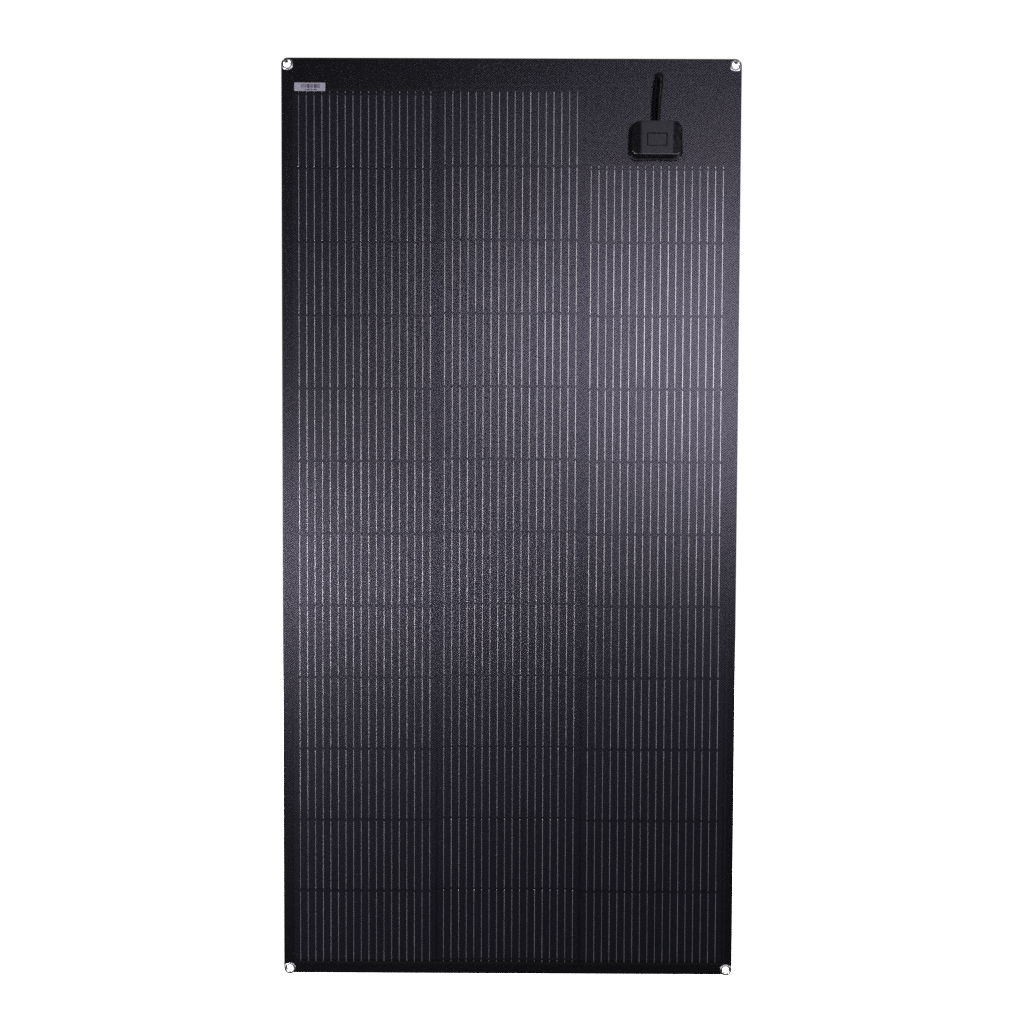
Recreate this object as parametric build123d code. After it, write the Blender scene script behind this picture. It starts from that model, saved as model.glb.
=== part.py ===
"""Flexible solar sheet: a thin laminate of 35 half-cut cells with four corner eyelets, a junction
box bonded to its front face, and two leads that pass through a slot to hang behind the sheet.

Millimetres. +Z is up, +X is to the right as one faces the cells, and the cells face -Y. The origin is
the centre of the four eyelets, on the back face of the sheet. A "level" is a height above that back
face, towards the cells, so the front of the sheet is at level 2.5 and its Y is -2.5.
"""

import os
from math import pi, radians, tan

from build123d import *

os.makedirs("parts", exist_ok=True)

# ---------------------------------------------------------------- driving dimensions
cell_width = 210.0  # a 210 mm wafer
cell_height = 105.0  # cut in half
row_gap = 1.5
column_gap = 3.0
rows = 12
columns = 3

sheet_width = 668.0
sheet_height = 1348.0
sheet_top = 675.0  # the upper margin is a little deeper than the lower one
sheet_corner = 9.5
top_margin = 50.5
eyelet_spacing = (650.0, 1330.0)

# Thicknesses of the laminate, from its back face forwards.
back_thickness = 0.8
rear_encapsulant_thickness = 0.35
wire_thickness = 0.15
cell_thickness = 0.2
pocket_clearance = 0.1
front_encapsulant_thickness = 0.45
film_thickness = 0.3

wires_per_cell = 18
wire_width = 1.0
wire_pitch = 11.31
wire_setback = 3.0  # a wire stops this far short of the far edge of its cell
wire_stub = 5.5  # past the end of a string
ribbon_width = 3.5
ribbon_thickness = 0.3

hole_radius = 5.0  # through an eyelet, for the fixing screw
eyelet_wall = 0.6
eyelet_flange = 8.5

box_x = 209.7
box_z = 556.4
box_flange = (75.4, 51.9)
box_lid_size = (73.0, 49.5)
box_height = 15.5  # above the sheet
box_wall = 2.0
lid_wall = 1.8
lid_gap = 0.4  # between the lid's skirt and the wall of the base

lead_diameter = 6.0
slot_x = 213.6
slot_z = 643.0
slot_size = (25.0, 13.0)

# ---------------------------------------------------------------- levels and places
rear_level = back_thickness + rear_encapsulant_thickness
cell_level = rear_level + wire_thickness
front_wire_level = cell_level + cell_thickness
pocket_top = front_wire_level + wire_thickness + pocket_clearance
film_level = pocket_top + front_encapsulant_thickness
surface = film_level + film_thickness

row_pitch = cell_height + row_gap
column_pitch = cell_width + column_gap
block_top = sheet_top - top_margin
block_bottom = block_top - rows * row_pitch + row_gap
column_x = [(i - (columns - 1) / 2) * column_pitch for i in range(columns)]
first_row = [1, 1, 2]  # the junction box takes the place of the right column's top cell
column_names = ["left", "middle", "right"]
eyelet_places = [
    (side * eyelet_spacing[0] / 2, end * eyelet_spacing[1] / 2) for side in (-1, 1) for end in (-1, 1)
]


def row_top(row):
    """Z of the upper edge of the cells in a row, counted from 1 at the top."""
    return block_top - (row - 1) * row_pitch


def plate(sketch, low, high):
    """Extrudes a sketch, drawn in X and Z, from one level to another."""
    return extrude(Plane.XZ.offset(low) * sketch, amount=high - low)


def rectangle(x_low, x_high, z_low, z_high):
    """A rectangle between two X and two Z values."""
    middle = ((x_low + x_high) / 2, (z_low + z_high) / 2)
    return Pos(*middle) * Rectangle(x_high - x_low, z_high - z_low)


def turned(profile, x, z):
    """A solid of revolution about the Y-parallel line at (x, z), from (radius, level) points."""
    face = make_face(Polyline([(radius, -level) for radius, level in profile], close=True))
    return Pos(x, 0, z) * revolve(face, axis=Axis.Y)


def save(name, *shapes):
    """Writes one node, a single solid or a group of separate ones."""
    solids = [solid for shape in shapes for solid in shape.solids()]
    node = solids[0] if len(solids) == 1 else Compound(children=solids)
    node.label = name
    export_step(node, f"parts/{name}.step")


# ---------------------------------------------------------------- string ribbons, in plan
ribbon_offset = 3.0  # from the end of a string to its ribbon
ribbon_space = 4.0  # between the two ribbons above the strings
link_inset = 3.0
return_offset = 2.0
terminal_pitch = 20.0
half_ribbon = ribbon_width / 2
block_side = column_x[2] + cell_width / 2
top_ribbon = (block_top + ribbon_offset, block_top + ribbon_offset + ribbon_width)
bottom_ribbon = (block_bottom - ribbon_offset - ribbon_width, block_bottom - ribbon_offset)
upper_low = top_ribbon[1] + ribbon_space
upper_ribbon = (upper_low, upper_low + ribbon_width)
right_top = row_top(first_row[2])
right_ribbon = (right_top + ribbon_offset, right_top + ribbon_offset + ribbon_width)
link_low = column_x[2] - cell_width / 2 + link_inset
link_x = (link_low, link_low + ribbon_width)
return_x = (block_side + return_offset, block_side + return_offset + ribbon_width)
terminal_x = [box_x - terminal_pitch, box_x, box_x + terminal_pitch]
terminal_z = box_z + 2.0
middle_tap = (box_z - 12.5, box_z - 12.5 + ribbon_width)
return_tap = (box_z + 10.0, box_z + 10.0 + ribbon_width)


def column_span(index):
    """The X range of one column of cells."""
    return column_x[index] - cell_width / 2, column_x[index] + cell_width / 2


left_low, left_high = column_span(0)
middle_low, middle_high = column_span(1)
right_low, right_high = column_span(2)

# From the left column's upper end over the middle column to the first terminal.
start_ribbon_plan = [
    rectangle(left_low, left_high, *top_ribbon),
    rectangle(left_high - ribbon_width, left_high, top_ribbon[0], upper_ribbon[1]),
    rectangle(left_high - ribbon_width, terminal_x[0] + half_ribbon, *upper_ribbon),
    rectangle(terminal_x[0] - half_ribbon, terminal_x[0] + half_ribbon, terminal_z, upper_ribbon[1]),
]
# Joins the left and middle columns at the bottom.
bottom_link_plan = [rectangle(left_low, middle_high, *bottom_ribbon)]
# Joins the middle and right columns at the top, with a branch to the second terminal.
top_link_plan = [
    rectangle(middle_low, link_x[1], *top_ribbon),
    rectangle(*link_x, right_ribbon[0], top_ribbon[1]),
    rectangle(link_x[0], right_high, *right_ribbon),
    rectangle(link_x[0], terminal_x[1] + half_ribbon, *middle_tap),
    rectangle(terminal_x[1] - half_ribbon, terminal_x[1] + half_ribbon, middle_tap[0], terminal_z),
]
# From the right column's lower end up the right margin to the third terminal.
return_ribbon_plan = [
    rectangle(right_low, return_x[1], *bottom_ribbon),
    rectangle(*return_x, bottom_ribbon[0], return_tap[1]),
    rectangle(terminal_x[2] - half_ribbon, return_x[1], *return_tap),
    rectangle(terminal_x[2] - half_ribbon, terminal_x[2] + half_ribbon, terminal_z, return_tap[1]),
]


def joined(plans):
    """One sketch from a list of rectangles."""
    whole = plans[0]
    for part in plans[1:]:
        whole = whole + part
    return whole


# ---------------------------------------------------------------- laminate
sheet_hole = hole_radius + eyelet_wall + 0.1
slot_plan = Pos(slot_x, slot_z) * SlotOverall(*slot_size, rotation=90)


def sheet_outline():
    """The sheet in plan, with its eyelet holes and the slot for the leads."""
    sheet_middle = Pos(0, sheet_top - sheet_height / 2)
    outline = sheet_middle * RectangleRounded(sheet_width, sheet_height, sheet_corner)
    for x, z in eyelet_places:
        outline = outline - Pos(x, z) * Circle(sheet_hole)
    return outline - slot_plan


def string_pocket():
    """The room that the cells, wires and ribbons take in the front encapsulant, in plan."""
    room = 0.5
    plans = [
        rectangle(
            column_span(i)[0] - room,
            column_span(i)[1] + room,
            block_bottom - wire_stub - room,
            row_top(first_row[i]) + wire_stub + room,
        )
        for i in range(columns)
    ]
    ribbons = start_ribbon_plan + bottom_link_plan + top_link_plan + return_ribbon_plan
    for part in ribbons:
        size = part.bounding_box().size
        plans.append(Pos(part.center()) * Rectangle(size.X + 2 * room, size.Y + 2 * room))
    return joined(plans)


window_size = (54.0, 32.0)  # cut through the front layers under the box, for the ribbons
window = Pos(box_x, box_z + 1.0) * RectangleRounded(*window_size, 4.0)
outline = sheet_outline()
save("back_sheet", plate(outline, 0, back_thickness))
save("rear_encapsulant", plate(outline, back_thickness, rear_level))
front_encapsulant = plate(outline - window, rear_level, film_level)
save("front_encapsulant", front_encapsulant - plate(string_pocket(), rear_level, pocket_top))
save("front_film", plate(outline - window, film_level, surface))

# ---------------------------------------------------------------- cells
wafer_chamfer = 1.2  # the two corners of the uncut wafer that a half keeps


def cell(column, row):
    """One half-cut cell. The wafer's own corners are on its upper edge."""
    blank = Rectangle(cell_width, cell_height)
    corners = blank.vertices().group_by(Axis.Y)[-1]
    blank = chamfer(corners, wafer_chamfer)
    centre = (column_x[column], row_top(row) - cell_height / 2)
    return plate(Pos(*centre) * blank, cell_level, front_wire_level)


for column in range(columns):
    for row in range(first_row[column], rows + 1):
        save(f"cell_{column_names[column]}_{row:02d}", cell(column, row))

# ---------------------------------------------------------------- string wires
wire_offsets = [(i - (wires_per_cell - 1) / 2) * wire_pitch for i in range(wires_per_cell)]
front_reach = cell_height - wire_setback
step = 0.25  # past a cell's edge before the wire drops to the level behind the cells


def wire(line):
    """A flat wire along a line of (level, z) points, at X = 0."""
    near = [(-level, z) for level, z in line]
    far = [(-level - wire_thickness, z) for level, z in reversed(line)]
    face = Plane.YZ * make_face(Polyline(near + far, close=True))
    return extrude(face, amount=wire_width / 2, both=True)


def wire_kinds(sense):
    """The three wires of a string, each drawn from Z = 0 at an edge between cells. sense is 1 where
    the current side of a cell is its upper edge, and -1 where the string is turned over."""
    between = [
        (front_wire_level, sense * front_reach),
        (front_wire_level, -sense * step),
        (rear_level, -sense * (row_gap - step)),
        (rear_level, -sense * (row_gap + front_reach)),
    ]
    first = [(rear_level, sense * wire_stub), (rear_level, -sense * front_reach)]
    last = [
        (front_wire_level, sense * front_reach),
        (front_wire_level, -sense * step),
        (rear_level, -sense * (row_gap - step)),
        (rear_level, -sense * wire_stub),
    ]
    return wire(between), wire(first), wire(last)


def string_wires(column, sense):
    """All the wires of one column."""
    between, first, last = wire_kinds(sense)
    top, bottom = row_top(first_row[column]), block_bottom
    placed = [(first, top if sense > 0 else bottom), (last, bottom if sense > 0 else top)]
    for row in range(first_row[column], rows):
        edge = row_top(row) - cell_height
        placed.append((between, edge if sense > 0 else edge - row_gap))
    return [
        Pos(column_x[column] + offset, 0, z) * shape for shape, z in placed for offset in wire_offsets
    ]


string_senses = (1, -1, 1)
save("string_wires", *[w for i in range(columns) for w in string_wires(i, string_senses[i])])


# ---------------------------------------------------------------- ribbons
def ribbon(plans):
    """A flat ribbon that lies on the ends of the wires."""
    return plate(joined(plans), cell_level, cell_level + ribbon_thickness)


base_floor = surface + 2.0  # the inside of the box's floor
terminal_thickness = 1.0


def tail(x):
    """The end of a ribbon, folded up through the box's floor to the edge of its terminal."""
    return plate(
        rectangle(x - half_ribbon, x + half_ribbon, terminal_z, terminal_z + ribbon_thickness),
        cell_level,
        base_floor + terminal_thickness,
    )


save(
    "bus_ribbons",
    ribbon(bottom_link_plan),
    ribbon(start_ribbon_plan) + tail(terminal_x[0]),
    ribbon(top_link_plan) + tail(terminal_x[1]),
    ribbon(return_ribbon_plan) + tail(terminal_x[2]),
)

# ---------------------------------------------------------------- label
label_size = (45.0, 12.0)
label_place = (-292.5, 633.0)
label_thickness = 0.1
label_plan = Pos(*label_place) * RectangleRounded(*label_size, 1.0)
save("serial_label", plate(label_plan, surface, surface + label_thickness))

# ---------------------------------------------------------------- eyelets
washer_thickness = 0.8
flange_height = 1.3
roll_height = 0.9
eyelet_profile = [
    (hole_radius, -washer_thickness - roll_height + 0.4),
    (hole_radius + 0.5, -washer_thickness - roll_height),
    (eyelet_flange - 2.0, -washer_thickness - roll_height),
    (eyelet_flange - 1.4, -washer_thickness - 0.4),
    (eyelet_flange - 1.4, -washer_thickness),
    (hole_radius + eyelet_wall, -washer_thickness),
    (hole_radius + eyelet_wall, surface),
    (eyelet_flange, surface),
    (eyelet_flange, surface + 0.3),
    (eyelet_flange - 0.7, surface + 0.9),
    (eyelet_flange - 1.7, surface + flange_height),
    (hole_radius + 0.9, surface + flange_height),
    (hole_radius + 0.2, surface + 0.8),
    (hole_radius, surface),
]
washer_profile = [
    (sheet_hole, -washer_thickness),
    (eyelet_flange, -washer_thickness),
    (eyelet_flange, 0),
    (sheet_hole, 0),
]
save("eyelets", *[turned(eyelet_profile, x, z) for x, z in eyelet_places])
save("eyelet_washers", *[turned(washer_profile, x, z) for x, z in eyelet_places])

# ---------------------------------------------------------------- junction box
box_at = Pos(box_x, box_z)
box_top = surface + box_height
lid_inside = (box_lid_size[0] - 2 * lid_wall, box_lid_size[1] - 2 * lid_wall)
wall_outside = (lid_inside[0] - 2 * lid_gap, lid_inside[1] - 2 * lid_gap)
wall_inside = (wall_outside[0] - 2 * box_wall, wall_outside[1] - 2 * box_wall)
wall_height = 7.5
wall_top = base_floor + wall_height
seal_height = 0.9
flange_corner = 13.2
flange_round = 0.8
lid_corner = 12.0
lead_exits = [box_x - 3.1, box_x + 3.1]
bush_size = (14.4, 7.4)
lead_level = base_floor + bush_size[1] / 2 + 0.05
wall_edge = box_z + wall_outside[1] / 2


def frame(outside, inside, corner, thickness):
    """A rounded rectangular ring in plan. Its inner corners keep the wall thickness even."""
    return RectangleRounded(*outside, corner) - RectangleRounded(*inside, max(corner - thickness, 0.5))


def bush(z_low, z_high):
    """The flattened plug around both leads where they leave the box."""
    plan = Pos(box_x, -lead_level) * SlotOverall(*bush_size)
    return extrude(Plane.XY.offset(z_low) * plan, amount=z_high - z_low)


wall_plan = frame(wall_outside, wall_inside, lid_corner - lid_wall - lid_gap, box_wall)
foil_slot = Pos(box_x, terminal_z) * Rectangle(2.5 * terminal_pitch, 2.4)
base = plate(box_at * RectangleRounded(*box_flange, flange_corner), surface, base_floor)
base = fillet(base.faces().sort_by(Axis.Y)[0].edges(), flange_round)
base = base + plate(box_at * wall_plan, base_floor, wall_top)
base = base - plate(foil_slot, surface, base_floor)
base = base - bush(wall_edge - 2 * box_wall, wall_edge + box_wall)
save("junction_box_base", base)

# The lid has a flat middle and sides that slope down to its skirt.
slope_width = 14.0
slope_drop = 2.8
fold_round = 25.0  # where the slopes meet the flat middle
rim_round = 1.8  # of the crown's outer edge
skirt_gap = 0.3  # between the skirt and the flange
recess_size = (29.3, 18.9)
recess_depth = 0.6


def crowned(size, top, corner, drop):
    """A block with the lid's outer form, from just above the flange up to the level top."""
    half = size[0] / 2
    low = base_floor + skirt_gap
    section = [
        (box_x - half, -low),
        (box_x + half, -low),
        (box_x + half, -(top - drop)),
        (box_x + half - slope_width, -top),
        (box_x - half + slope_width, -top),
        (box_x - half, -(top - drop)),
    ]
    face = make_face(Polyline(section, close=True))
    bar = Pos(0, 0, box_z - size[1] / 2) * extrude(face, amount=size[1])
    return bar & plate(box_at * RectangleRounded(*size, corner), low, top)


fold_length = box_lid_size[1]


def is_fold(edge):
    """True for the two edges between the lid's flat middle and its slopes."""
    return abs(edge.length - fold_length) < 0.01 and abs(edge.center().Y + box_top) < 0.01


def on_rim(edge):
    """True for the edges round the outside of the crown, which are all shorter than a fold."""
    return edge.length < fold_length - 1 and edge.center().Y < 0.5 - (box_top - slope_drop)


lid = crowned(box_lid_size, box_top, lid_corner, slope_drop)
lid = fillet(lid.edges().filter_by(is_fold), fold_round)
lid = fillet(lid.edges().filter_by(on_rim), rim_round)
lid = lid - crowned(lid_inside, box_top - lid_wall, lid_corner - lid_wall, slope_drop)
recess = Pos(box_x + 0.4, box_z - 2.3) * RectangleRounded(*recess_size, 0.8)
lid = lid - plate(recess, box_top - recess_depth, box_top)
notch_room = 0.5  # round the bush
notch_half = bush_size[0] / 2 + notch_room
notch = rectangle(box_x - notch_half, box_x + notch_half, wall_edge, box_z + box_flange[1] / 2)
lid = lid - plate(notch, base_floor, lead_level + bush_size[1] / 2 + notch_room)
save("junction_box_lid", lid)

seal = box_at * frame(
    (wall_outside[0] - 0.6, wall_outside[1] - 0.6),
    (wall_inside[0] + 0.6, wall_inside[1] + 0.6),
    lid_corner - lid_wall - lid_gap - 0.3,
    box_wall - 0.6,
)
save("lid_seal", plate(seal, wall_top, wall_top + seal_height))


# ---------------------------------------------------------------- inside the box
terminal_size = (14.0, 13.0)
terminals = [
    plate(
        Pos(x, terminal_z - terminal_size[1] / 2) * Rectangle(*terminal_size),
        base_floor,
        base_floor + terminal_thickness,
    )
    for x in terminal_x
]
save("terminal_plates", *terminals)

diode_size = (10.0, 6.5)
diode_height = 3.4
diode_drop = 7.5  # of a diode's centre, below the ribbons' tails
diode_floor = base_floor + terminal_thickness
diodes = []
for side in (-1, 1):
    diode_at = Pos(box_x + side * terminal_pitch / 2, terminal_z - diode_drop)
    diode_plan = diode_at * RectangleRounded(*diode_size, 0.8)
    diodes.append(plate(diode_plan, diode_floor, diode_floor + diode_height))
save("bypass_diodes", *diodes)

bush_inside, bush_outside = 1.5, 1.0  # how far the bush stands out of each side of the wall
bush_plug = bush(wall_edge - box_wall - bush_inside, wall_edge + bush_outside)
for x in lead_exits:
    bush_plug = bush_plug - Pos(x, -lead_level, wall_edge) * Cylinder(lead_diameter / 2, 4 * box_wall)
save("lead_bush", bush_plug)


# ---------------------------------------------------------------- leads
def turn(points, i):
    """How far the route turns at one of its inner points, in degrees."""
    return (points[i] - points[i - 1]).get_angle(points[i + 1] - points[i])


def corner_radii(points):
    """The largest arc that the runs beside each inner point leave room for."""
    runs = [(b - a).length for a, b in zip(points, points[1:])]
    return [
        0.45 * min(runs[i - 1], runs[i]) / tan(radians(turn(points, i) / 2))
        for i in range(1, len(points) - 1)
    ]


def tube(points, diameter, radii):
    """A round rod along straight runs joined by arcs, and the length of its centre line."""
    path = FilletPolyline(*points, radius=radii)
    start = Plane(origin=path @ 0, z_dir=path % 0)
    return sweep(start * Circle(diameter / 2), path=path), path.length


# Each route leaves the bush, runs up the front, bends through the slot and hangs behind the sheet.
lead_start = wall_edge - box_wall - bush_inside - 1.3
negative_route = [
    (lead_exits[0], -lead_level, lead_start),
    (lead_exits[0], -lead_level, 588.0),
    (206.7, -6.5, 602.5),
    (207.3, -6.1, 617.0),
    (208.5, -6.4, 631.0),
    (209.9, -6.6, 643.4),
    (210.5, -0.9, 649.6),
    (210.7, 10.0, 650.4),
    (210.7, 24.5, 643.0),
    (210.5, 33.2, 629.5),
    (210.0, 35.6, 606.0),
    (209.0, 35.8, 565.0),
    (206.9, 34.2, 495.0),
    (204.6, 31.2, 415.0),
    (202.8, 27.8, 335.0),
    (201.6, 24.7, 255.0),
    (201.0, 22.4, 175.0),
    (200.8, 21.0, 95.0),
    (200.9, 20.4, 15.0),
    (201.2, 20.2, -66.0),
    (201.2, 20.2, -150.4),
]
positive_route = [
    (lead_exits[1], -lead_level, lead_start),
    (lead_exits[1], -lead_level, 588.0),
    (213.3, -6.4, 602.5),
    (214.2, -6.0, 616.8),
    (215.3, -6.2, 630.2),
    (216.3, -6.3, 641.8),
    (216.7, -0.8, 647.8),
    (216.9, 8.0, 648.6),
    (217.0, 19.8, 642.0),
    (217.1, 27.2, 630.0),
    (217.3, 29.3, 606.0),
    (218.1, 29.5, 562.0),
    (220.0, 28.5, 492.0),
    (222.4, 27.0, 410.0),
    (224.3, 25.1, 326.0),
    (225.6, 23.4, 242.0),
    (226.2, 22.0, 158.0),
    (226.5, 21.0, 76.0),
    (226.4, 20.5, -5.0),
    (226.1, 20.3, -82.0),
    (226.1, 20.3, -158.5),
]
routes = {
    "lead_negative": [Vector(*point) for point in negative_route],
    "lead_positive": [Vector(*point) for point in positive_route],
}
leads = []
for name, points in routes.items():
    radii = corner_radii(points)
    lead, length = tube(points, lead_diameter, radii)
    print(name, "radii", [round(r) for r in radii])
    print(name, "turns", [round(turn(points, i)) for i in range(1, len(points) - 1)])
    section = pi * lead_diameter**2 / 4
    print(name, f"length {length:.1f}, volume / (section x length) {lead.volume / section / length:.4f}")
    save(name, lead)
    leads.append(lead)

conductor_diameter = 2.2
conductor_level = diode_floor + conductor_diameter / 2 + 0.05
landings = (terminal_x[0] - 3.0, terminal_x[2] + 3.0)
conductors = []
for exit_x, landing_x in zip(lead_exits, landings):
    line = [
        Vector(exit_x, -lead_level, lead_start),
        Vector(exit_x, -lead_level, lead_start - 5.0),
        Vector(landing_x, -conductor_level, lead_start - 13.0),
        Vector(landing_x, -conductor_level, terminal_z - 10.0),
    ]
    conductors.append(tube(line, conductor_diameter, [2.5, 2.5])[0])
save("lead_conductors", *conductors)

# ---------------------------------------------------------------- sealant
bead_width = 2.0
bead_height = 1.6
bead_size = (box_flange[0] + 2 * bead_width, box_flange[1] + 2 * bead_width)
bead_plan = box_at * frame(bead_size, box_flange, flange_corner + bead_width, bead_width)
bead = plate(bead_plan, surface, surface + bead_height)
plug_setback = 0.3  # of the plug in the slot, from both faces of the sheet
plug = plate(slot_plan, plug_setback, surface - plug_setback)
for lead in leads:
    plug = plug - lead
save("sealant", bead, plug)

# ---------------------------------------------------------------- plug connectors on the leads
# Heights are from the top face of the connector's collar. The lead enters from above.
thread_radius = 7.0
thread_length = 12.0
bore_radius = lead_diameter / 2 + 0.1
collar_radius = 9.3
nut_radius = 9.2
nut_top = 19.0
lead_end = 1.0  # above the collar
crimp_radius = 2.4
pin_radius = 2.0
contact_bore = 2.5


def upright(profile, place):
    """A solid of revolution about the vertical through a place, from (radius, height) points."""
    face = make_face(Plane.XZ * Polyline(profile, close=True))
    return Pos(*place) * revolve(face, axis=Axis.Z)


def gland_nut(place):
    """The cap that clamps the lead's seal: a grooved cylinder with a tapered top."""
    profile = [
        (bore_radius, nut_top),
        (5.2, nut_top),
        (nut_radius - 0.6, nut_top - 5.0),
        (nut_radius, nut_top - 5.8),
        (nut_radius, 0.6),
        (thread_radius + 0.1, 0.6),
        (thread_radius + 0.1, thread_length + 0.5),
        (bore_radius, thread_length + 0.5),
    ]
    nut = upright(profile, (0, 0, 0))
    groove = Pos(nut_radius + 0.5, 0, 6.5) * Cylinder(0.9, 14.0)
    for angle in range(0, 360, 24):
        nut = nut - Rot(0, 0, angle) * groove
    return Pos(*place) * nut


def threaded_end():
    """The outline that both housings share, from the bore up over the thread to the collar."""
    return [
        (bore_radius, 0),
        (bore_radius, thread_length),
        (thread_radius, thread_length),
        (thread_radius, 0),
        (collar_radius, 0),
        (collar_radius, -3.0),
    ]


def plug_housing(place):
    """The housing whose nose and two latch arms enter the other one."""
    nose_radius, nose_end = 6.2, -44.0
    profile = threaded_end() + [
        (8.4, -3.8),
        (8.4, -22.0),
        (nose_radius, -24.0),
        (nose_radius, nose_end),
        (4.6, nose_end),
        (4.6, -26.0),
        (contact_bore, -26.0),
        (contact_bore, 0),
    ]
    housing = upright(profile, (0, 0, 0))
    for side in (-1, 1):
        arm = Pos(side * 7.7, 0, -30.0) * Box(1.4, 6.0, 20.0)
        barb = Pos(side * 8.4, 0, -38.0) * Box(1.4, 6.0, 3.0)
        housing = housing + arm + barb
    return Pos(*place) * housing


def socket_housing(place):
    """The housing that receives the nose, with a window each side for the latch arms' barbs."""
    mouth = -40.0
    profile = threaded_end() + [
        (8.6, -3.8),
        (8.6, -12.0),
        (9.6, -14.0),
        (9.6, mouth),
        (6.6, mouth),
        (6.6, -18.0),
        (4.2, -18.0),
        (4.2, mouth + 2.0),
        (contact_bore, mouth + 2.0),
        (contact_bore, 0),
    ]
    housing = upright(profile, (0, 0, 0))
    for side in (-1, 1):
        housing = housing - Pos(side * 9.0, 0, -29.0) * Box(5.0, 6.5, 6.0)
    return Pos(*place) * housing


def pin_contact(place):
    """The plug's contact, a crimped barrel and a solid pin."""
    profile = [
        (0, lead_end),
        (crimp_radius, lead_end),
        (crimp_radius, -12.0),
        (pin_radius, -12.5),
        (pin_radius, -40.0),
        (1.2, -41.5),
        (0, -41.5),
    ]
    return upright(profile, place)


def socket_contact(place):
    """The socket's contact, a crimped barrel and a tube for the pin."""
    profile = [
        (0, lead_end),
        (crimp_radius, lead_end),
        (crimp_radius, -37.0),
        (pin_radius - 0.3, -37.0),
        (pin_radius - 0.3, -14.0),
        (0, -14.0),
    ]
    return upright(profile, place)


def connector_place(route):
    """The collar's top face, below the end of a lead."""
    end = route[-1]
    return end.X, end.Y, end.Z - lead_end


positive_place = connector_place(routes["lead_positive"])
negative_place = connector_place(routes["lead_negative"])
save("positive_connector_nut", gland_nut(positive_place))
save("positive_connector_housing", plug_housing(positive_place))
save("positive_connector_pin", pin_contact(positive_place))
save("negative_connector_nut", gland_nut(negative_place))
save("negative_connector_housing", socket_housing(negative_place))
save("negative_connector_socket", socket_contact(negative_place))
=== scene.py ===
"""The looks of the flexible solar sheet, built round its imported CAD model. Metres, +Z up."""

import math
import random

import bmesh
import bpy
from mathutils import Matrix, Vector

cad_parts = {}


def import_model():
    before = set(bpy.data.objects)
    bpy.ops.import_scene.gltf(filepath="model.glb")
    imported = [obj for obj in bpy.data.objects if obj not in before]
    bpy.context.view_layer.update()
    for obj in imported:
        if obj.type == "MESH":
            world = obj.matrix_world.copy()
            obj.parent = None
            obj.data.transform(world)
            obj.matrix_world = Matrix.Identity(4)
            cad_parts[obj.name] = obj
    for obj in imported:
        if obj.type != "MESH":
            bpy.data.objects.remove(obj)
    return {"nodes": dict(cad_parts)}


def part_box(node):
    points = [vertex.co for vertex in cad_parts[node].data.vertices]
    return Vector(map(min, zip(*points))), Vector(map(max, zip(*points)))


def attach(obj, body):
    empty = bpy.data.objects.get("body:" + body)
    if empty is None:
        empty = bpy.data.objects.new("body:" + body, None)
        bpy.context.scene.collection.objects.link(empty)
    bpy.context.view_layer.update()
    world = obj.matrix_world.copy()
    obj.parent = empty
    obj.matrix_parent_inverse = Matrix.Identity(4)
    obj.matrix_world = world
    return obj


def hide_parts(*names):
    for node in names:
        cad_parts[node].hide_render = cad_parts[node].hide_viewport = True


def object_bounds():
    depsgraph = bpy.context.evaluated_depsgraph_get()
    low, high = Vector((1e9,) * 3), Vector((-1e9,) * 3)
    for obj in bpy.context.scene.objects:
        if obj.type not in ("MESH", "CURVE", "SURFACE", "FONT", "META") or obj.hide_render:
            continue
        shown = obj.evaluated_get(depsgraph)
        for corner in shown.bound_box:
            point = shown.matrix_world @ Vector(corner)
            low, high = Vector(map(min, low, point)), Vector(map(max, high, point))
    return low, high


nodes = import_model()["nodes"]
cad_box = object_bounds()

MM = 0.001
PILLOW_X, PILLOW_Z = 4.25 * MM, 3.5 * MM  # pitch of the pillows embossed in the film
EMBOSSING = 0.08 * MM  # their depth
TRIM = 2 * MM  # the edge of the sheet, where the clear layers look black
CELL_PITCH = 106.5 * MM
FINGER_PITCH = 1.4 * MM
WIRE_PITCH = 11.31 * MM
FLANGE_CORNER = 13.2 * MM  # of the junction box
RECESS_HALF_X, RECESS_HALF_Z = 14.65 * MM, 9.45 * MM  # of the recess in its lid
RECESS_OFFSET = Vector((0.4, 0, -2.3)) * MM  # from the middle of the lid
RECESS_EDGE = 1.5 * MM
SLOT_X = 213.6 * MM
PLUG_HALF_X, PLUG_HALF_Z = 6.45 * MM, 12.45 * MM
LEAD_DIAMETER, LEAD_LENGTH = 6 * MM, 0.9


# ---------------------------------------------------------------- shader helpers
def add(tree, kind, inputs=None, **settings):
    """Adds a shader node, with its sockets set to values or linked to other sockets."""
    made = tree.nodes.new("ShaderNode" + kind)
    for name, value in settings.items():
        setattr(made, name, value)
    for name, value in (inputs or {}).items():
        if isinstance(value, bpy.types.NodeSocket):
            tree.links.new(value, made.inputs[name])
        else:
            made.inputs[name].default_value = value
    return made


def calc(tree, operation, *values, clamp=False):
    """A Math node's output."""
    made = add(tree, "Math", dict(enumerate(values)), operation=operation, use_clamp=clamp)
    return made.outputs[0]


def place(tree):
    """The X, Y and Z of the point being shaded, in the part's own frame."""
    split = add(tree, "SeparateXYZ", {0: add(tree, "TexCoord").outputs["Object"]})
    return split.outputs


def noise(tree, scale, detail=3.0):
    """A noise texture's value, in the part's own frame."""
    spot = add(tree, "TexCoord").outputs["Object"]
    return add(tree, "TexNoise", {"Vector": spot, "Scale": scale, "Detail": detail}).outputs["Fac"]


def random_value(tree, x, y=0.0):
    """A random value from 0 to 1 for each pair of whole numbers."""
    spot = add(tree, "CombineXYZ", {0: x, 1: y}).outputs[0]
    return add(tree, "TexWhiteNoise", {"Vector": spot}, noise_dimensions="3D").outputs["Value"]


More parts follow.
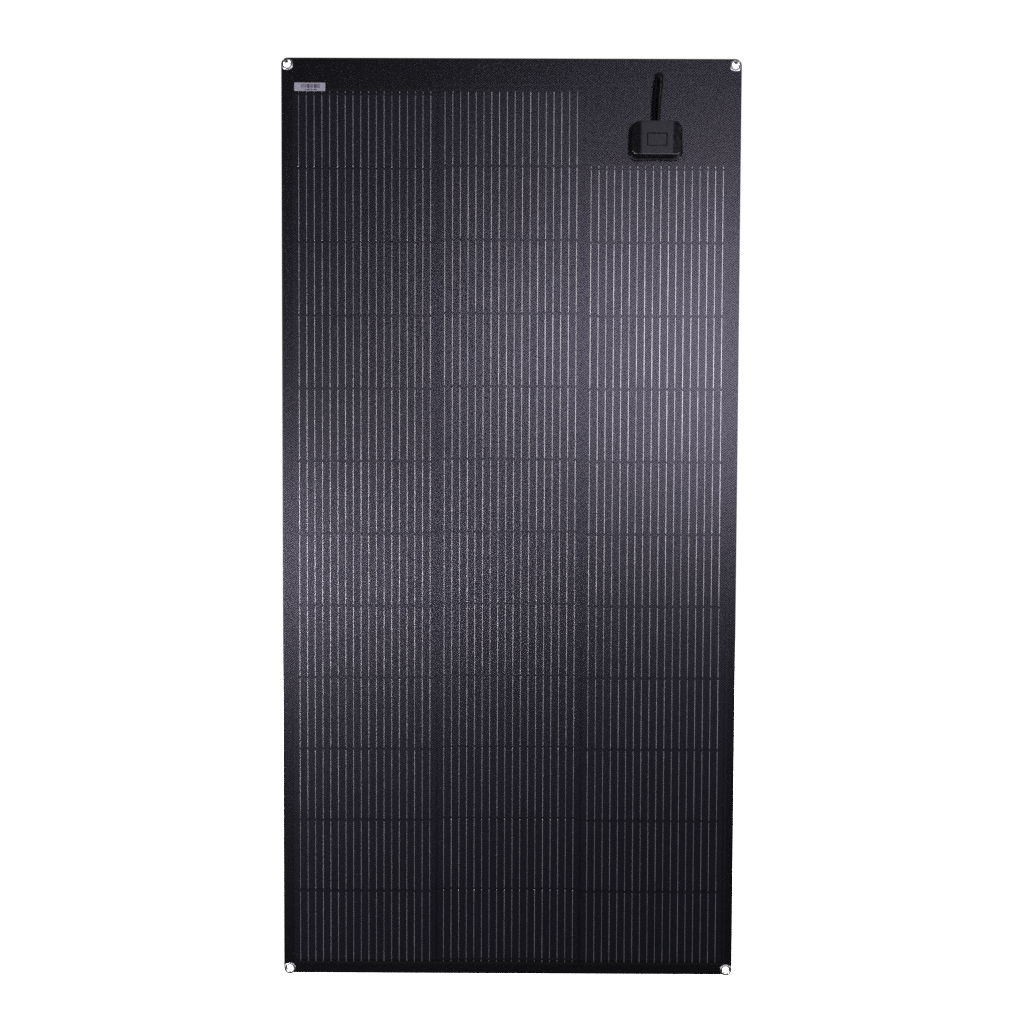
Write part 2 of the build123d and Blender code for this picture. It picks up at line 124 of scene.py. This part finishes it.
def ramp(tree, value, low, high, to_low, to_high):
    """Maps a value from one range to another, and holds it at the ends."""
    made = add(tree, "MapRange", {0: value, 1: low, 2: high, 3: to_low, 4: to_high})
    return made.outputs[0]


def blend_colours(tree, share, first, second):
    """A mix of two colours."""
    made = add(tree, "Mix", {0: share, 6: first, 7: second}, data_type="RGBA")
    return made.outputs[2]


def surface(name, **inputs):
    """A material with one Principled shader. Returns it, its tree and its shader."""
    made = bpy.data.materials.new(name)
    made.use_nodes = True
    shader = made.node_tree.nodes["Principled BSDF"]
    for key, value in inputs.items():
        shader.inputs[key.replace("_", " ")].default_value = value
    return made, made.node_tree, shader


def feed(tree, shader, socket, value):
    """Links a value to one of the shader's sockets."""
    tree.links.new(value, shader.inputs[socket])


def bump(tree, shader, height, distance):
    """Gives a shader the relief of a height field. distance is in metres."""
    made = add(tree, "Bump", {"Height": height, "Distance": distance, "Strength": 1.0})
    feed(tree, shader, "Normal", made.outputs[0])


def within(tree, value, low, high):
    """1 where a value is between two others, and 0 elsewhere."""
    above = calc(tree, "GREATER_THAN", value, low)
    return calc(tree, "MULTIPLY", above, calc(tree, "LESS_THAN", value, high))


def beyond(tree, value, middle, half):
    """How far a coordinate is outside a span, given by its middle and half its width."""
    away = calc(tree, "ABSOLUTE", calc(tree, "SUBTRACT", value, middle))
    return calc(tree, "SUBTRACT", away, half)


def wave(tree, value, pitch):
    """A cosine of the given pitch, from -1 to 1."""
    return calc(tree, "COSINE", calc(tree, "MULTIPLY", value, 2 * math.pi / pitch))


def pillows(tree):
    """The height of the film's embossing, from -0.5 to 0.5: small pillows in diagonal rows."""
    x, _, z = place(tree)
    across = calc(tree, "DIVIDE", x, PILLOW_X)
    up = calc(tree, "DIVIDE", z, PILLOW_Z)
    rising = wave(tree, calc(tree, "ADD", across, up), 1.0)
    falling = wave(tree, calc(tree, "SUBTRACT", across, up), 1.0)
    return calc(tree, "MULTIPLY", calc(tree, "ADD", rising, falling), 0.25)


# ---------------------------------------------------------------- materials
def film_material():
    """Clear embossed film, a thin veil of gloss over what lies under it. Its alpha is the share of
    the light that its outer face turns back: more at a glance, and more on top of each pillow,
    where a painted sheen stands in for the glints off the embossing."""
    made, tree, shader = surface("film", Base_Color=(0.9, 0.87, 0.98, 1), Metallic=1.0)
    height = pillows(tree)
    grain = calc(tree, "MULTIPLY", noise(tree, 650.0, 2.0), 0.2)
    bump(tree, shader, calc(tree, "ADD", height, grain), EMBOSSING)
    feed(tree, shader, "Roughness", ramp(tree, height, -0.5, 0.5, 0.34, 0.3))
    glance = add(tree, "Fresnel", {"IOR": 1.5}).outputs[0]
    outside = calc(tree, "SUBTRACT", 1.0, add(tree, "NewGeometry").outputs["Backfacing"])
    # painted sheen: the veil turns back more light on top of each pillow than in its hollows
    fresnel_and_painted_sheen = calc(tree, "MULTIPLY", glance, ramp(tree, height, -0.5, 0.5, 0.3, 3.5))
    feed(tree, shader, "Alpha", calc(tree, "MULTIPLY", fresnel_and_painted_sheen, outside, clamp=True))
    return made


def encapsulant_material():
    """Clear polymer, which darkens at the trimmed edge of the sheet."""
    made, tree, shader = surface("encapsulant", Base_Color=(0.02, 0.02, 0.022, 1), Roughness=0.4)
    x, _, z = place(tree)
    rim_x = calc(tree, "GREATER_THAN", calc(tree, "ABSOLUTE", x), cad_box[1][0] - TRIM)
    rim_z = calc(tree, "GREATER_THAN", calc(tree, "ABSOLUTE", z), cad_box[1][2] - TRIM)
    rim = calc(tree, "MAXIMUM", rim_x, rim_z)
    feed(tree, shader, "Alpha", ramp(tree, rim, 0, 1, 0.02, 0.95))
    return made


def cell_material():
    """Blue-black silicon with hair-fine contact fingers across the wires."""
    made, tree, shader = surface("cell", Roughness=0.4, Specular_IOR_Level=0.08)
    _, _, z = place(tree)
    finger = ramp(tree, wave(tree, z, FINGER_PITCH), 0.86, 0.97, 0, 1)
    tone = noise(tree, 14.0, 4.0)
    body = blend_colours(tree, tone, (0.004, 0.0045, 0.010, 1), (0.007, 0.0075, 0.016, 1))
    feed(tree, shader, "Base Color", blend_colours(tree, finger, body, (0.02, 0.02, 0.027, 1)))
    return made


def wire_material():
    """Tinned flat wire. Each length is painted its own brightness, a painted shine standing in for
    the slight twist at which it lies, and a painted pattern of light from the pillows of the film
    above breaks that shine up."""
    made, tree, shader = surface("wire", Metallic=0.85, Roughness=0.38)
    x, _, z = place(tree)
    lane = calc(tree, "ROUND", calc(tree, "DIVIDE", x, WIRE_PITCH / 2))
    segment = calc(tree, "FLOOR", calc(tree, "DIVIDE", z, CELL_PITCH))
    own = random_value(tree, lane, segment)
    along = add(tree, "CombineXYZ", {0: lane, 1: calc(tree, "MULTIPLY", z, 12.0)}).outputs[0]
    drift = add(tree, "TexNoise", {"Vector": along, "Scale": 1.3, "Detail": 3.0}).outputs["Fac"]
    # painted shine: each length's own brightness, from a random value and a drift along it
    level = calc(tree, "ADD", calc(tree, "MULTIPLY", own, 0.45), calc(tree, "MULTIPLY", drift, 1.1))
    # painted light: the pattern of the film's pillows above, laid into the wire's colour
    painted_lattice_light = ramp(tree, pillows(tree), -0.5, 0.5, 0.72, 1.0)
    painted_shine = calc(tree, "MULTIPLY", ramp(tree, level, 0.45, 1.1, 0.12, 1.0), painted_lattice_light)
    tone = blend_colours(tree, painted_shine, (0.4, 0.39, 0.35, 1), (1.0, 0.98, 0.86, 1))
    feed(tree, shader, "Base Color", tone)
    return made


def plastic_material(name, colour, roughness, grain=2500.0, depth=0.03 * MM, specular=0.5):
    """Moulded plastic or rubber with a fine spark-eroded grain."""
    made, tree, shader = surface(name, Roughness=roughness, Specular_IOR_Level=specular)
    tone = noise(tree, 60.0, 4.0)
    paler = tuple(min(1.0, c * 1.35 + 0.002) for c in colour)
    feed(tree, shader, "Base Color", blend_colours(tree, tone, (*colour, 1), (*paler, 1)))
    polish = ramp(tree, noise(tree, 220.0), 0.3, 0.7, roughness - 0.06, roughness + 0.06)
    feed(tree, shader, "Roughness", polish)
    bump(tree, shader, noise(tree, grain, 2.0), depth)
    return made


def lid_material():
    """The box's plastic, with the rounded edge of the recess in the lid."""
    made = plastic_material("lid_plastic", (0.002, 0.002, 0.0025), 0.2, specular=1.0)
    tree = made.node_tree
    low, high = (Vector(corner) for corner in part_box("junction_box_lid"))
    middle = (low + high) / 2 + RECESS_OFFSET
    x, _, z = place(tree)
    away_x = beyond(tree, x, middle.x, RECESS_HALF_X)
    away_z = beyond(tree, z, middle.z, RECESS_HALF_Z)
    dish = ramp(tree, calc(tree, "MAXIMUM", away_x, away_z), -RECESS_EDGE, 0, 0, 1)
    grain = calc(tree, "MULTIPLY", noise(tree, 2500.0, 2.0), 0.03)
    bump(tree, tree.nodes["Principled BSDF"], calc(tree, "ADD", dish, grain), 1 * MM)
    return made


def metal_material(name, colour, roughness):
    """Plated metal with faint turning marks and wear."""
    made, tree, shader = surface(name, Metallic=1.0, Roughness=roughness)
    wear = noise(tree, 700.0, 5.0)
    darker = tuple(c * 0.72 for c in colour)
    feed(tree, shader, "Base Color", blend_colours(tree, wear, (*darker, 1), (*colour, 1)))
    feed(tree, shader, "Roughness", ramp(tree, wear, 0.3, 0.7, roughness + 0.12, roughness - 0.05))
    bump(tree, shader, wear, 0.04 * MM)
    return made


def label_material():
    """Pale printed polyester, with a tall and a short row of meaningless upright bars."""
    made, tree, shader = surface("label", Roughness=0.35)
    low, high = (Vector(corner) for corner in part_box("serial_label"))
    x, _, z = place(tree)
    u = ramp(tree, x, low.x, high.x, 0, 1)
    v = ramp(tree, z, low.z, high.z, 0, 1)
    strip = calc(tree, "FLOOR", calc(tree, "MULTIPLY", u, 150.0))
    ink = calc(tree, "GREATER_THAN", random_value(tree, strip), 0.4)
    tall = calc(tree, "MULTIPLY", within(tree, v, 0.38, 0.85), within(tree, u, 0.2, 0.84))
    short = calc(tree, "MULTIPLY", within(tree, v, 0.1, 0.27), within(tree, u, 0.3, 0.72))
    printed = calc(tree, "MULTIPLY", ink, calc(tree, "MAXIMUM", tall, short))
    tone = blend_colours(tree, printed, (0.55, 0.54, 0.59, 1), (0.13, 0.12, 0.15, 1))
    feed(tree, shader, "Base Color", tone)
    return made


FILM = film_material()
ENCAPSULANT = encapsulant_material()
CELL = cell_material()
WIRE = wire_material()
RIBBON = plastic_material("ribbon", (0.003, 0.003, 0.004), 0.5, specular=0.15)
BACK = plastic_material(
    "back_sheet", (0.006, 0.006, 0.009), 0.5, grain=1200.0, depth=0.06 * MM, specular=0.25
)
BOX = plastic_material("box_plastic", (0.002, 0.002, 0.0025), 0.25, specular=0.5)
LID = lid_material()
RUBBER = plastic_material("seal_rubber", (0.012, 0.012, 0.012), 0.6)
SHEATHS = {
    # painted shade: the negative lead gets a dulled copy of the same black sheath, standing in for
    # the shade it lies in
    "lead_negative": plastic_material(
        "shaded_sheath", (0.002, 0.002, 0.002), 0.5, depth=0.02 * MM, specular=0.12
    ),
    "lead_positive": plastic_material(
        "glossy_sheath", (0.002, 0.002, 0.002), 0.26, depth=0.02 * MM, specular=1.0
    ),
}
CONNECTOR = plastic_material("connector_plastic", (0.012, 0.012, 0.013), 0.45)
DIODE = plastic_material("diode_epoxy", (0.02, 0.02, 0.021), 0.55)
SEALANT = plastic_material("sealant", (0.006, 0.006, 0.007), 0.16, grain=180.0, depth=0.4 * MM)
NICKEL = metal_material("nickel", (0.86, 0.86, 0.87), 0.28)
BRASS = metal_material("tinned_brass", (0.78, 0.72, 0.6), 0.35)
COPPER = metal_material("copper", (0.8, 0.46, 0.3), 0.35)
SILVER = metal_material("silver", (0.85, 0.84, 0.82), 0.25)
LABEL = label_material()

finishes = {
    "front_film": FILM,
    "front_encapsulant": ENCAPSULANT,
    "rear_encapsulant": ENCAPSULANT,
    "back_sheet": BACK,
    "string_wires": WIRE,
    "bus_ribbons": RIBBON,
    "serial_label": LABEL,
    "eyelets": NICKEL,
    "eyelet_washers": NICKEL,
    "junction_box_base": BOX,
    "junction_box_lid": LID,
    "lid_seal": RUBBER,
    "lead_bush": RUBBER,
    "terminal_plates": BRASS,
    "bypass_diodes": DIODE,
    "lead_conductors": COPPER,
    "positive_connector_housing": CONNECTOR,
    "positive_connector_nut": CONNECTOR,
    "positive_connector_pin": SILVER,
    "negative_connector_housing": CONNECTOR,
    "negative_connector_nut": CONNECTOR,
    "negative_connector_socket": SILVER,
}
for name, node in nodes.items():
    finish = CELL if name.startswith("cell_") else finishes.get(name)
    if finish is None:
        continue
    if not node.material_slots:
        node.data.materials.append(None)
    for material_slot in node.material_slots:
        material_slot.link = "OBJECT"
        material_slot.material = finish


# ---------------------------------------------------------------- sealant
def rounded_outline(half_x, half_z, corner, count):
    """Points and outward directions, evenly spaced round a rounded rectangle at the origin."""
    straight_x, straight_z = 2 * (half_x - corner), 2 * (half_z - corner)
    arc = corner * math.pi / 2
    total = 2 * (straight_x + straight_z) + 4 * arc
    sides = [straight_z, straight_x, straight_z, straight_x]
    centres = [(1, 1), (-1, 1), (-1, -1), (1, -1)]
    spots = []
    for i in range(count):
        along = total * i / count
        for side, (length, centre) in enumerate(zip(sides, centres)):
            normal = side * math.pi / 2
            cx, cz = centre[0] * (half_x - corner), centre[1] * (half_z - corner)
            if along < length:
                back = length - along
                out = Vector((math.cos(normal), math.sin(normal)))
                spot = Vector((cx, cz)) + corner * out - back * Vector((-out.y, out.x))
                spots.append((spot, out))
                break
            along -= length
            if along < arc:
                angle = normal + along / corner
                out = Vector((math.cos(angle), math.sin(angle)))
                spots.append((Vector((cx, cz)) + corner * out, out))
                break
            along -= arc
    return spots


# Where the bead is thicker: the direction from the middle of the box and the spread, both in
# degrees, and the extra width in millimetres.
BEAD_SWELLS = ((214, 17, 2.2), (-36, 18, 1.9), (262, 6, 0.7))
BEAD_WIDTH, BEAD_RIPPLE = 1.5, 0.5  # in millimetres
BEAD_POINTS, BEAD_STEPS = 220, 12  # round the box, and over the bead
BEAD_TUCK = 0.8 * MM  # how far it reaches in past the flange's edge


def swell(angle, centre, width):
    """A bump of height 1 around one direction from the middle of the box, in degrees."""
    away = (math.degrees(angle) - centre + 180) % 360 - 180
    return math.exp(-((away / width) ** 2))


def bead_mesh(mesh, level):
    """The bead squeezed out round the junction box. It is thickest at the two lower corners."""
    low, high = (Vector(corner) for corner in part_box("junction_box_base"))
    middle = (low + high) / 2
    half_x, half_z = (high.x - low.x) / 2, (high.z - low.z) / 2
    draw = random.Random(5)
    waves = [(draw.uniform(0.5, 1), draw.randint(3, 19), draw.uniform(0, 6.28)) for _ in range(7)]
    rings = []
    for spot, out in rounded_outline(half_x, half_z, FLANGE_CORNER, BEAD_POINTS):
        angle = math.atan2(spot.y, spot.x)
        ripple = sum(size * math.sin(turns * angle + phase) for size, turns, phase in waves) / 7
        width = (BEAD_WIDTH + BEAD_RIPPLE * ripple) * MM
        for centre, spread, extra in BEAD_SWELLS:
            width += extra * MM * swell(angle, centre, spread)
        height = (1.3 + 0.35 * ripple) * MM + 0.25 * width
        ring = []
        for k in range(BEAD_STEPS + 1):
            turn = math.pi * k / BEAD_STEPS
            reach = -BEAD_TUCK + (width + BEAD_TUCK) * (1 - math.cos(turn)) / 2
            rise = height * math.sin(turn) ** 0.8 if 0 < k < BEAD_STEPS else 0.0
            flat = spot + out * reach
            ring.append(mesh.verts.new((middle.x + flat.x, level - rise, middle.z + flat.y)))
        rings.append(ring)
    for i, here in enumerate(rings):
        there = rings[(i + 1) % BEAD_POINTS]
        for k in range(BEAD_STEPS):
            mesh.faces.new((here[k], here[k + 1], there[k + 1], there[k]))
        mesh.faces.new((here[-1], here[0], there[0], there[-1]))


PLUG_RINGS = (0.0, 0.35, 0.65, 0.88, 1.0)  # from its middle to its rim, as shares of its outline
PLUG_DOMES = (-0.9 * MM, 0.6 * MM)  # the bulge along Y at the middle of its front and its back


def plug_mesh(mesh, front, back):
    """The uneven plug that fills the slot round the leads."""
    centre_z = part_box("sealant")[1][2] - PLUG_HALF_Z - 0.05 * MM
    outline = rounded_outline(PLUG_HALF_X, PLUG_HALF_Z, PLUG_HALF_X - 0.01 * MM, 64)
    rows = []
    for side, (level, dome) in enumerate(zip((front, back), PLUG_DOMES)):
        for share in PLUG_RINGS:
            lift = dome * (1 - share**3) * (1.0 + 0.2 * math.sin(9 * share + side))
            spots = [spot * share for spot, _ in outline] if share else [Vector((0, 0))]
            row = [mesh.verts.new((SLOT_X + s.x, level + lift, centre_z + s.y)) for s in spots]
            rows.append(row)
    fronts, backs = rows[: len(PLUG_RINGS)], rows[len(PLUG_RINGS) :]
    for i in range(len(outline)):
        j = (i + 1) % len(outline)
        mesh.faces.new((fronts[0][0], fronts[1][i], fronts[1][j]))
        mesh.faces.new((backs[0][0], backs[1][j], backs[1][i]))
        for k in range(1, len(PLUG_RINGS) - 1):
            mesh.faces.new((fronts[k][i], fronts[k + 1][i], fronts[k + 1][j], fronts[k][j]))
            mesh.faces.new((backs[k][j], backs[k + 1][j], backs[k + 1][i], backs[k][i]))
        mesh.faces.new((fronts[-1][i], backs[-1][i], backs[-1][j], fronts[-1][j]))


def sealant():
    """Glossy black silicone round the box and in the slot."""
    shape = bmesh.new()
    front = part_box("front_film")[0][1]
    bead_mesh(shape, front)
    plug_mesh(shape, front + 0.5 * MM, -0.3 * MM)
    bmesh.ops.recalc_face_normals(shape, faces=shape.faces)
    mesh = bpy.data.meshes.new("sealant_silicone")
    shape.to_mesh(mesh)
    shape.free()
    mesh.polygons.foreach_set("use_smooth", [True] * len(mesh.polygons))
    mesh.materials.append(SEALANT)
    piece = bpy.data.objects.new("sealant_silicone", mesh)
    bpy.context.scene.collection.objects.link(piece)
    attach(piece, "sheet")
    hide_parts("sealant")


sealant()

# ---------------------------------------------------------------- leads
# In millimetres: out of the box, up to the slot, through it, and down behind the sheet.
lead_routes = {
    "lead_negative": [
        (206.6, -8.25, 574.15),
        (206.6, -8.25, 588.0),
        (206.7, -6.5, 602.5),
        (207.3, -6.1, 617.0),
        (208.5, -6.4, 631.0),
        (209.9, -6.6, 643.4),
        (210.5, -0.9, 649.6),
        (210.7, 10.0, 650.4),
        (210.7, 24.5, 643.0),
        (210.5, 33.2, 629.5),
        (210.0, 35.6, 606.0),
        (209.0, 35.8, 565.0),
        (206.9, 34.2, 495.0),
        (204.6, 31.2, 415.0),
        (202.8, 27.8, 335.0),
        (201.6, 24.7, 255.0),
        (201.0, 22.4, 175.0),
        (200.8, 21.0, 95.0),
        (200.9, 20.4, 15.0),
        (201.2, 20.2, -66.0),
        (201.2, 20.2, -150.4),
    ],
    "lead_positive": [
        (212.8, -8.25, 574.15),
        (212.8, -8.25, 588.0),
        (213.3, -6.4, 602.5),
        (214.2, -6.0, 616.8),
        (215.3, -6.2, 630.2),
        (216.3, -6.3, 641.8),
        (216.7, -0.8, 647.8),
        (216.9, 8.0, 648.6),
        (217.0, 19.8, 642.0),
        (217.1, 27.2, 630.0),
        (217.3, 29.3, 606.0),
        (218.1, 29.5, 562.0),
        (220.0, 28.5, 492.0),
        (222.4, 27.0, 410.0),
        (224.3, 25.1, 326.0),
        (225.6, 23.4, 242.0),
        (226.2, 22.0, 158.0),
        (226.5, 21.0, 76.0),
        (226.4, 20.5, -5.0),
        (226.1, 20.3, -82.0),
        (226.1, 20.3, -158.5),
    ],
}


def lead(name, route, sheath):
    """A round lead along its route, as a smooth spline, in place of the CAD lead."""
    curve = bpy.data.curves.new(name + "_cord", "CURVE")
    curve.dimensions = "3D"
    spline = curve.splines.new("NURBS")
    spline.points.add(len(route) - 1)
    for point, spot in zip(spline.points, route):
        point.co = (*(Vector(spot) * MM), 1.0)
    spline.order_u = 3
    spline.use_endpoint_u = True
    spline.resolution_u = 8
    curve.bevel_depth = LEAD_DIAMETER / 2
    curve.bevel_resolution = 7
    curve.use_fill_caps = True
    curve.materials.append(sheath)
    piece = bpy.data.objects.new(name + "_cord", curve)
    bpy.context.scene.collection.objects.link(piece)
    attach(piece, "sheet")
    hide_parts(name)


for name, route in lead_routes.items():
    lead(name, route, SHEATHS[name])


# ---------------------------------------------------------------- stage, light and camera
def area_light(name, spot, target, size, power, colour=(1, 1, 1)):
    """A soft rectangular lamp that faces a point."""
    lamp = bpy.data.lights.new(name, "AREA")
    lamp.shape = "RECTANGLE"
    lamp.size, lamp.size_y = size
    lamp.energy = power
    lamp.color = colour
    made = bpy.data.objects.new(name, lamp)
    bpy.context.scene.collection.objects.link(made)
    made.location = spot
    made.rotation_euler = (Vector(target) - Vector(spot)).to_track_quat("-Z", "Y").to_euler()
    made.visible_camera = False


LAMP_PLANE = -2.0  # y of the lamps that the film mirrors, behind the camera
VIOLET_WHITE = (0.98, 0.93, 1.14)


def lamp_at(name, x, z, size, power):
    """A lamp that lies parallel to the sheet, where the film mirrors it."""
    area_light(name, (x, LAMP_PLANE, z), (x, 0, z), size, power, VIOLET_WHITE)


lamp_at("window", 1.19, 0.49, (1.49, 1.0), 12.5)
lamp_at("left_glint", -1.44, -0.19, (0.11, 0.06), 15.0)
lamp_at("upper_panel", 0.08, 0.55, (0.69, 0.55), 2.4)
lamp_at("left_strip", -0.38, -0.24, (1.09, 0.06), 2.2)
lamp_at("high", 0.95, 1.75, (0.9, 0.3), 0.35)
lamp_at("box_panel", 0.52, 1.3, (0.85, 0.4), 0.46)
lamp_at("box_left", 0.12, 1.3, (0.12, 0.5), 0.16)
lamp_at("box_right", 0.92, 1.3, (0.12, 0.5), 0.34)
area_light("overhead", (0.3, -0.9, 2.9), (0, 0, 0.1), (2.0, 0.8), 4)
area_light("low_left", (-2.7, -1.1, -0.5), (0, 0, -0.1), (0.8, 1.4), 18)
area_light("low_right", (2.9, -1.1, -0.6), (0, 0, -0.1), (0.8, 1.4), 18)
area_light("behind", (1.2, 2.6, 1.4), (0, 0, 0), (1.6, 1.6), 260)
area_light("behind_left", (-1.9, 2.2, 0.2), (0, 0, 0), (0.8, 1.6), 120)


def white_world(ambient):
    """White where the camera looks past the object, and dim for everything that it lights."""
    world = bpy.data.worlds.new("studio")
    bpy.context.scene.world = world
    world.use_nodes = True
    tree = world.node_tree
    tree.nodes.clear()
    seen = add(tree, "LightPath").outputs["Is Camera Ray"]
    tone = blend_colours(tree, seen, (ambient, ambient, ambient, 1), (1, 1, 1, 1))
    sky = add(tree, "Background", {"Color": tone})
    out = add(tree, "OutputWorld")
    tree.links.new(sky.outputs[0], out.inputs[0])


white_world(0.03)


def pale_floor(reach, drop):
    """A plain white floor, a drop below the hanging sheet."""
    mesh = bpy.data.meshes.new("floor")
    level = cad_box[0][2] - drop
    signs = [(-1, -1), (1, -1), (1, 1), (-1, 1)]
    mesh.from_pydata([(reach * a, reach * b, level) for a, b in signs], [], [(0, 1, 2, 3)])
    floor = bpy.data.objects.new("floor", mesh)
    bpy.context.scene.collection.objects.link(floor)
    made, _, shader = surface("floor", Base_Color=(0.85, 0.85, 0.85, 1), Roughness=0.9)
    shader.inputs["Emission Color"].default_value = (1, 1, 1, 1)
    shader.inputs["Emission Strength"].default_value = 1.0
    mesh.materials.append(made)
    floor.visible_glossy = False
    floor.visible_diffuse = False


pale_floor(12.0, 0.12)

CAMERA_SPOT = (0.005534, -1.3374, 0.055873)
CAMERA_TURN = (88.332, -0.239, 0.093)  # degrees about X, Y and Z; it looks 1.7 below level
CAMERA_LENS, CAMERA_SENSOR = 31.93, 36.0  # in millimetres, as Blender takes them

camera = bpy.data.cameras.new("camera")
camera.lens = CAMERA_LENS
camera.sensor_width = CAMERA_SENSOR
camera_at = bpy.data.objects.new("camera", camera)
bpy.context.scene.collection.objects.link(camera_at)
camera_at.location = CAMERA_SPOT
camera_at.rotation_euler = [math.radians(turn) for turn in CAMERA_TURN]
bpy.context.scene.camera = camera_at
bpy.context.scene.view_settings.view_transform = "Standard"
bpy.context.scene.cycles.use_denoising = False
